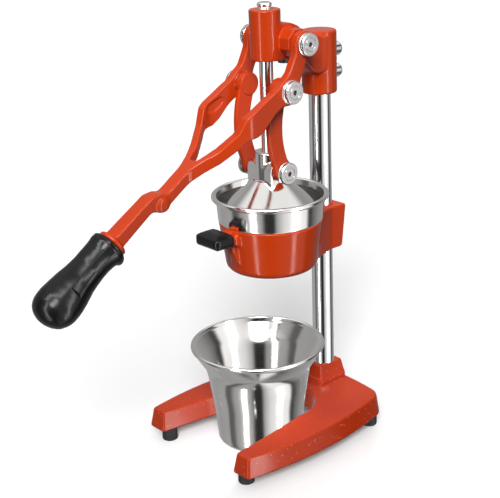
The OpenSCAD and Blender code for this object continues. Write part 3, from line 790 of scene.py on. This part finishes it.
def lever_shape(x, y, z):
    across = np.abs(x)
    side = outline(y, z, rounded(LEVER_SIDE)[0])
    eyes = np.minimum(disc(y, z, PIVOT, 13.5), disc(y, z, KNEE, 14))
    way = np.array(PIVOT) - np.array(KNEE)
    length = math.hypot(*way)
    run, off = way / length, np.array((-way[1], way[0])) / length
    t = (y - KNEE[0]) * run[0] + (z - KNEE[1]) * run[1]
    s = (y - KNEE[0]) * off[0] + (z - KNEE[1]) * off[1]
    strut = np.maximum(np.abs(s) - 9, np.abs(t - length / 2) - length / 2)
    side = smin(smin(side, eyes, 8), strut, 8)
    plan = smax(outline(across, y, rounded(LEVER_OUT)[0]), -outline(across, y, rounded(LEVER_IN)[0]), 3)
    body = smax(side, plan, 2.2)
    nose = smax(disc(y, z, (-153, 314.2), 6.4), across - 11, 3)
    body = smin(body, nose, 4)
    pocket = outline(y, z, rounded([
        (-58.5, 387.5), (-56, 394.5), (-36, 402), (-33, 395), (-47, 386),
    ], 4)[0])
    pocket = smax(pocket, across - ARM_IN - 1.8, 2)
    body = smax(body, -pocket, 1.6)
    tilt = math.cos(GRIP_TILT), math.sin(GRIP_TILT)
    dy, dz = y - COLLAR[0], z - COLLAR[1]
    axial = -dy * tilt[0] - dz * tilt[1]
    radial = np.hypot(x, dy * tilt[1] - dz * tilt[0])
    collar = smax(radial - 16, np.abs(axial + 0.2) - 2.5, 2.4)
    body = smin(body, collar, 2.5)
    body = np.minimum(body, np.maximum(radial - 5, slab(axial, 0, 40)))
    bore = disc(y, z, PIVOT, 5.9)
    return np.maximum(body, -bore)


def make_lever():
    shell = skin(lever_shape, (-46, -254, 255), (46, 35, 476), 1.25)
    piece("lever_look", [shell], "gloss_enamel", "lever", "lever_fork")
    piece("lever_grip_look", [grip_loft()], "black_gloss_plastic", "lever", "lever_grip")


GRIP_LENGTH = 104.5
GRIP_RADII = [
    (0, 17), (0.8, 18.6), (2.3, 19.5), (5.3, 19.5), (9.3, 18.8), (13.3, 18.1), (17.3, 17.7), (23.3, 17.5),
    (31.3, 17.5), (39.3, 18.05), (47.3, 19), (55.3, 20.6), (63.3, 22), (71.3, 23.05), (79.3, 23.5),
    (87.3, 22.5), (95.3, 19), (100, 14), (103, 7.5), (GRIP_LENGTH, 0),
]
GRIP_BEND = [
    (0, 0), (10, -0.7), (20, -1.2), (26, -1.1), (34, -0.6), (42, -0.2), (50, 0.3), (58, 0.9), (66, 1.7),
    (74, 2), (82, 2), (90, 1.5), (98, 0.7), (GRIP_LENGTH, -0.4),
]
PANEL_TURN = (math.radians(54), math.radians(86))
PANEL_RUN = (4.0, 63.0)


def soft_step(at, edge, width):
    """0 before the edge and 1 after it."""
    t = np.clip((at - edge) / width + 0.5, 0, 1)
    return t * t * (3 - 2 * t)


def grip_loft():
    """Club grip: round sections on a slightly bent axis, a spur under the collar end and
    a long finger panel sunk into each side."""
    rows, columns = 260, 240
    ease = (1 - np.cos(np.linspace(0, math.pi, rows))) / 2
    turn = np.linspace(0, 2 * math.pi, columns, endpoint=False)
    from_top = np.abs((turn + math.pi) % (2 * math.pi) - math.pi)
    under = np.clip(-np.cos(turn), 0, 1)
    band = soft_step(from_top, PANEL_TURN[0], 0.05) * (1 - soft_step(from_top, PANEL_TURN[1], 0.05))
    start = 2.7
    verts = []
    for s in GRIP_LENGTH * ease:
        r = smooth_curve(s, *zip(*GRIP_RADII))
        bend = smooth_curve(s, *zip(*GRIP_BEND))
        spur = 3.2 * math.exp(-((s - 5.5) / 3.6) ** 4) * under ** 4
        run = soft_step(s, PANEL_RUN[0], 1.5) * (1 - soft_step(s, PANEL_RUN[1], 3))
        away = r + spur - 0.9 * run * band
        across = away * np.sin(turn)
        upward = away * np.cos(turn) - bend
        out = start + s
        y = COLLAR[0] - out * math.cos(GRIP_TILT) - upward * math.sin(GRIP_TILT)
        z = COLLAR[1] - out * math.sin(GRIP_TILT) + upward * math.cos(GRIP_TILT)
        verts.append(np.stack([across, y, z], axis=1))
    tip = verts[-1].mean(axis=0, keepdims=True)
    first = verts[0].mean(axis=0, keepdims=True)
    verts = np.concatenate(verts[:-1] + [tip, first])
    last = (rows - 2) * columns
    faces = []
    for i in range(rows - 2):
        for j in range(columns):
            k = (j + 1) % columns
            faces.append((i * columns + j, (i + 1) * columns + j, (i + 1) * columns + k, i * columns + k))
    tip_at, first_at = (rows - 1) * columns, (rows - 1) * columns + 1
    for j in range(columns):
        k = (j + 1) % columns
        faces.append((last + j, tip_at, last + k))
        faces.append((j, k, first_at))
    faces = [f[::-1] for f in faces]
    return verts, faces, mesh_normals(verts, faces)


def smooth_curve(at, stops, values):
    """Value of a smooth curve through (stop, value) pairs, without overshoot."""
    i = min(max(int(np.searchsorted(stops, at)) - 1, 0), len(stops) - 2)
    widths = np.diff(stops)
    slopes = np.diff(values) / widths
    before, after = slopes[:-1], slopes[1:]
    agree = before * after > 0
    middle = np.where(agree, 2 * before * after / np.where(agree, before + after, 1), 0)
    ends = np.concatenate(([slopes[0]], middle, [slopes[-1]]))
    h = widths[i]
    t = (at - stops[i]) / h
    return ((2 * t ** 3 - 3 * t ** 2 + 1) * values[i] + (t ** 3 - 2 * t ** 2 + t) * h * ends[i]
            + (3 * t ** 2 - 2 * t ** 3) * values[i + 1] + (t ** 3 - t ** 2) * h * ends[i + 1])


# ---------- links ----------

LINK_BOW = 11.0
LINK_W = 20.0


def link_shape(x, y, z):
    base, way = np.array(LUG), np.array(KNEE) - np.array(LUG)
    length = math.hypot(*way)
    run, off = way / length, np.array((-way[1], way[0])) / length
    t = (y - base[0]) * run[0] + (z - base[1]) * run[1]
    s = (y - base[0]) * off[0] + (z - base[1]) * off[1]
    arc = length * length / (8 * LINK_BOW) + LINK_BOW / 2
    bar = np.abs(np.hypot(t - length / 2, s + arc - LINK_BOW) - arc) - LINK_W / 2
    bar = np.maximum(bar, np.abs(t - length / 2) - length / 2)
    side = smin(smin(bar, disc(y, z, LUG, 11), 6), disc(y, z, KNEE, 12.5), 2.5)
    plate = smax(side, slab(x, LINK_IN, LINK_OUT), 2.2)
    boss = smax(disc(y, z, KNEE, 12.5), slab(x, LINK_IN - 1.2, ARM_IN - 0.6), 1.6)
    return smin(plate, boss, 1.0)


def make_links():
    near = skin(link_shape, (20, -32, 306), (34.5, 12, 427), 1.0)
    piece("link_right_look", [near], "gloss_enamel", "link_right", "link_right")
    piece("link_left_look", [placed(near, MIRROR)], "gloss_enamel", "link_left", "link_left")


# ---------- press cone ----------

def cone_shape(x, y, z):
    away = np.hypot(x, y)
    neck = smax(away - 16, slab(z, 300, 340), 1.6)
    lug = smax(disc(y, z, LUG, 12.4), np.abs(x) - 20, 1.6)
    root = smax(box2(y, z, LUG[0] - 12.4, LUG[0] + 12.4, 303, 320.5), np.abs(x) - 20, 1.6)
    lug = np.minimum(lug, root)
    flank = outline(away, z, rounded([(-5, 300), (18, 309.5, 3), (54.6, 276.6, 0.7), (54.6, 275.2, 0.4),
                                      (51.8, 275.2, 0.4), (22.5, 298.6, 4), (-5, 300.4)])[0])
    roof = smax(away - 24, slab(z, 300, 304.5), 2)
    body = smin(smin(neck, lug, 1.5), np.minimum(flank, roof), 2.5)
    counterbore = smax(away - 8.3, 336 - z, 0.3)
    return smax(body, -counterbore, 0.5)


def make_press():
    shell = skin(cone_shape, (-57, -57, 273), (57, 57, 342), 1.0)
    piece("cone_look", [shell], "stainless", "press", "press_cone")


# ---------- cup ----------

CUP_SIDE = [
    (4, 48.9), (38, 51.8), (66, 55.9), (88, 59.6), (95.5, 62.5), (101.5, 66.3), (108.5, 70.6),
    (115, 74.3),
]


def make_cup():
    bead, wall = 2.3, 1.2
    rim = [(CUP_R - bead + bead * math.cos(a), CUP_TOP - bead + bead * math.sin(a), 0)
           for a in np.radians(np.arange(-75, 181, 15))]
    heights, radii = zip(*CUP_SIDE)
    side = [(smooth_curve(z, heights, radii), z, 40) for z in np.linspace(9, 114, 43)]
    inside = [(r - wall, z, 40) for r, z, _ in side[::-1]]
    shell = turned([
        (0, 1.6), (41, 1.6, 2), (43, 0.1, 1), (45, 0.1, 2.5), (48.7, 4, 4), *side, (74.5, 115, 1), *rim,
        (72.2, 116, 1), *inside, (47.4, 5, 4), (40, 2.9, 6), (0, 2.9),
    ], 192, 0.5, 8)
    piece("cup_look", [placed(shell, shift(0, CUP_Y, 0))], "stainless", "cup", "juice_cup")


# ---------- studio ----------

def make_camera():
    azimuth, pitch, roll = (math.radians(v) for v in (49.68, 19.67, -2.12))
    place = (0.9476, -0.83623, 0.67785)
    back = Vector((
        math.sin(azimuth) * math.cos(pitch), -math.cos(azimuth) * math.cos(pitch), math.sin(pitch),
    ))
    right = (-back).cross(Vector((0, 0, 1))).normalized()
    up = right.cross(-back)
    across = right * math.cos(roll) + up * math.sin(roll)
    above = up * math.cos(roll) - right * math.sin(roll)
    data = bpy.data.cameras.new("camera")
    data.sensor_width = 36
    data.lens = 85.66
    data.clip_end = 50
    camera = bpy.data.objects.new("camera", data)
    turn = Matrix((across, above, back)).transposed().to_4x4()
    camera.matrix_world = Matrix.Translation(place) @ turn
    bpy.context.scene.collection.objects.link(camera)
    bpy.context.scene.camera = camera


def make_floor():
    mesh = bpy.data.meshes.new("floor")
    half = 6.0
    corners = [(-half, -half, 0), (half, -half, 0), (half, half, 0), (-half, half, 0)]
    mesh.from_pydata(corners, [], [(0, 1, 2, 3)])
    floor = bpy.data.objects.new("floor", mesh)
    bpy.context.scene.collection.objects.link(floor)
    material, _, _, shader = new_material("floor")
    shader.inputs["Base Color"].default_value = (0.95, 0.95, 0.95, 1)
    shader.inputs["Roughness"].default_value = 0.8
    mesh.materials.append(material)
    floor.visible_glossy = False
    floor.visible_diffuse = False
    floor.visible_shadow = False


# What shiny surfaces see round them: (bearing in degrees from +X, brightness)
FLATS = [
    (-180, 0.34), (-145, 0.38), (-136, 0.38), (-130, 0.10), (-118, 0.12), (-108, 0.35), (-92, 0.4),
    (-62, 0.35), (-54, 0.02), (-34, 0.02), (-28, 0.4), (-12, 0.8), (6, 1.0), (42, 1.0), (49, 0.05),
    (57, 0.05), (64, 0.15), (85, 0.3), (112, 0.36), (180, 0.40),
]


def make_world():
    """A white room. Matt surfaces get soft light, stronger from above; shiny ones see dark flats."""
    world = bpy.data.worlds.new("studio")
    world.use_nodes = True
    bpy.context.scene.world = world
    nodes, links = world.node_tree.nodes, world.node_tree.links
    where = nodes.new("ShaderNodeTexCoord")
    split = nodes.new("ShaderNodeSeparateXYZ")
    links.new(where.outputs["Generated"], split.inputs[0])
    angle = nodes.new("ShaderNodeMath")
    angle.operation = "ARCTAN2"
    links.new(split.outputs["Y"], angle.inputs[0])
    links.new(split.outputs["X"], angle.inputs[1])
    unit = nodes.new("ShaderNodeMapRange")
    unit.inputs["From Min"].default_value = -math.pi
    unit.inputs["From Max"].default_value = math.pi
    links.new(angle.outputs[0], unit.inputs["Value"])
    band = ramp(nodes, links, unit.outputs["Result"], [((a + 180) / 360, grey(v)) for a, v in FLATS])
    ceiling = ramp(nodes, links, split.outputs["Z"], [(0.55, grey(0)), (0.72, grey(1))])
    overhead = ramp(nodes, links, split.outputs["Z"], [(0.5, grey(0.05)), (0.65, grey(0.62))])
    path = nodes.new("ShaderNodeLightPath")
    mirrored = blend(nodes, links, ceiling, band, (0.95, 0.95, 0.95, 1))
    soft = blend(nodes, links, path.outputs["Is Glossy Ray"], overhead, mirrored)
    seen = blend(nodes, links, path.outputs["Is Camera Ray"], soft, (1, 1, 1, 1))
    links.new(seen, nodes["Background"].inputs["Color"])


def direction(bearing, rise):
    """Unit vector from degrees round from +X and degrees up."""
    around, up = math.radians(bearing), math.radians(rise)
    return Vector((math.cos(around) * math.cos(up), math.sin(around) * math.cos(up), math.sin(up)))


def make_sun(name, towards, spread, strength, mirrored):
    """Even light from a direction, soft by its spread in radians."""
    data = bpy.data.lights.new(name, "SUN")
    data.angle = spread
    data.energy = strength
    light = bpy.data.objects.new(name, data)
    light.rotation_euler = towards.to_track_quat("Z", "Y").to_euler()
    light.visible_glossy = mirrored
    bpy.context.scene.collection.objects.link(light)


def make_strip(name, towards, width, height):
    """Long narrow light that only shows as a highlight on shiny surfaces."""
    distance, radiance = 3.0, 12.0
    data = bpy.data.lights.new(name, "AREA")
    data.shape = "RECTANGLE"
    data.size, data.size_y = width, height
    data.energy = radiance * math.pi * width * height
    light = bpy.data.objects.new(name, data)
    light.location = towards * distance
    light.rotation_euler = towards.to_track_quat("Z", "Y").to_euler()
    light.visible_diffuse = False
    light.visible_camera = False
    bpy.context.scene.collection.objects.link(light)


def make_lights():
    make_sun("key", direction(-44, 36), 0.45, 3.2, True)
    make_sun("back", direction(130, 15), 0.5, 1.1, False)
    make_strip("strip_left", direction(-80, 0), 0.4, 7.0)
    make_strip("strip_right", direction(14, 0), 0.4, 7.0)
    make_strip("strip_top", direction(-60, 62), 3.0, 0.45)
    bpy.context.scene.view_settings.view_transform = "Standard"


finish_cad_nodes()
make_base()
make_column()
make_head()
make_knobs()
make_holder()
make_strainer()
make_lever()
make_links()
make_press()
make_cup()
make_camera()
make_floor()
make_world()
make_lights()
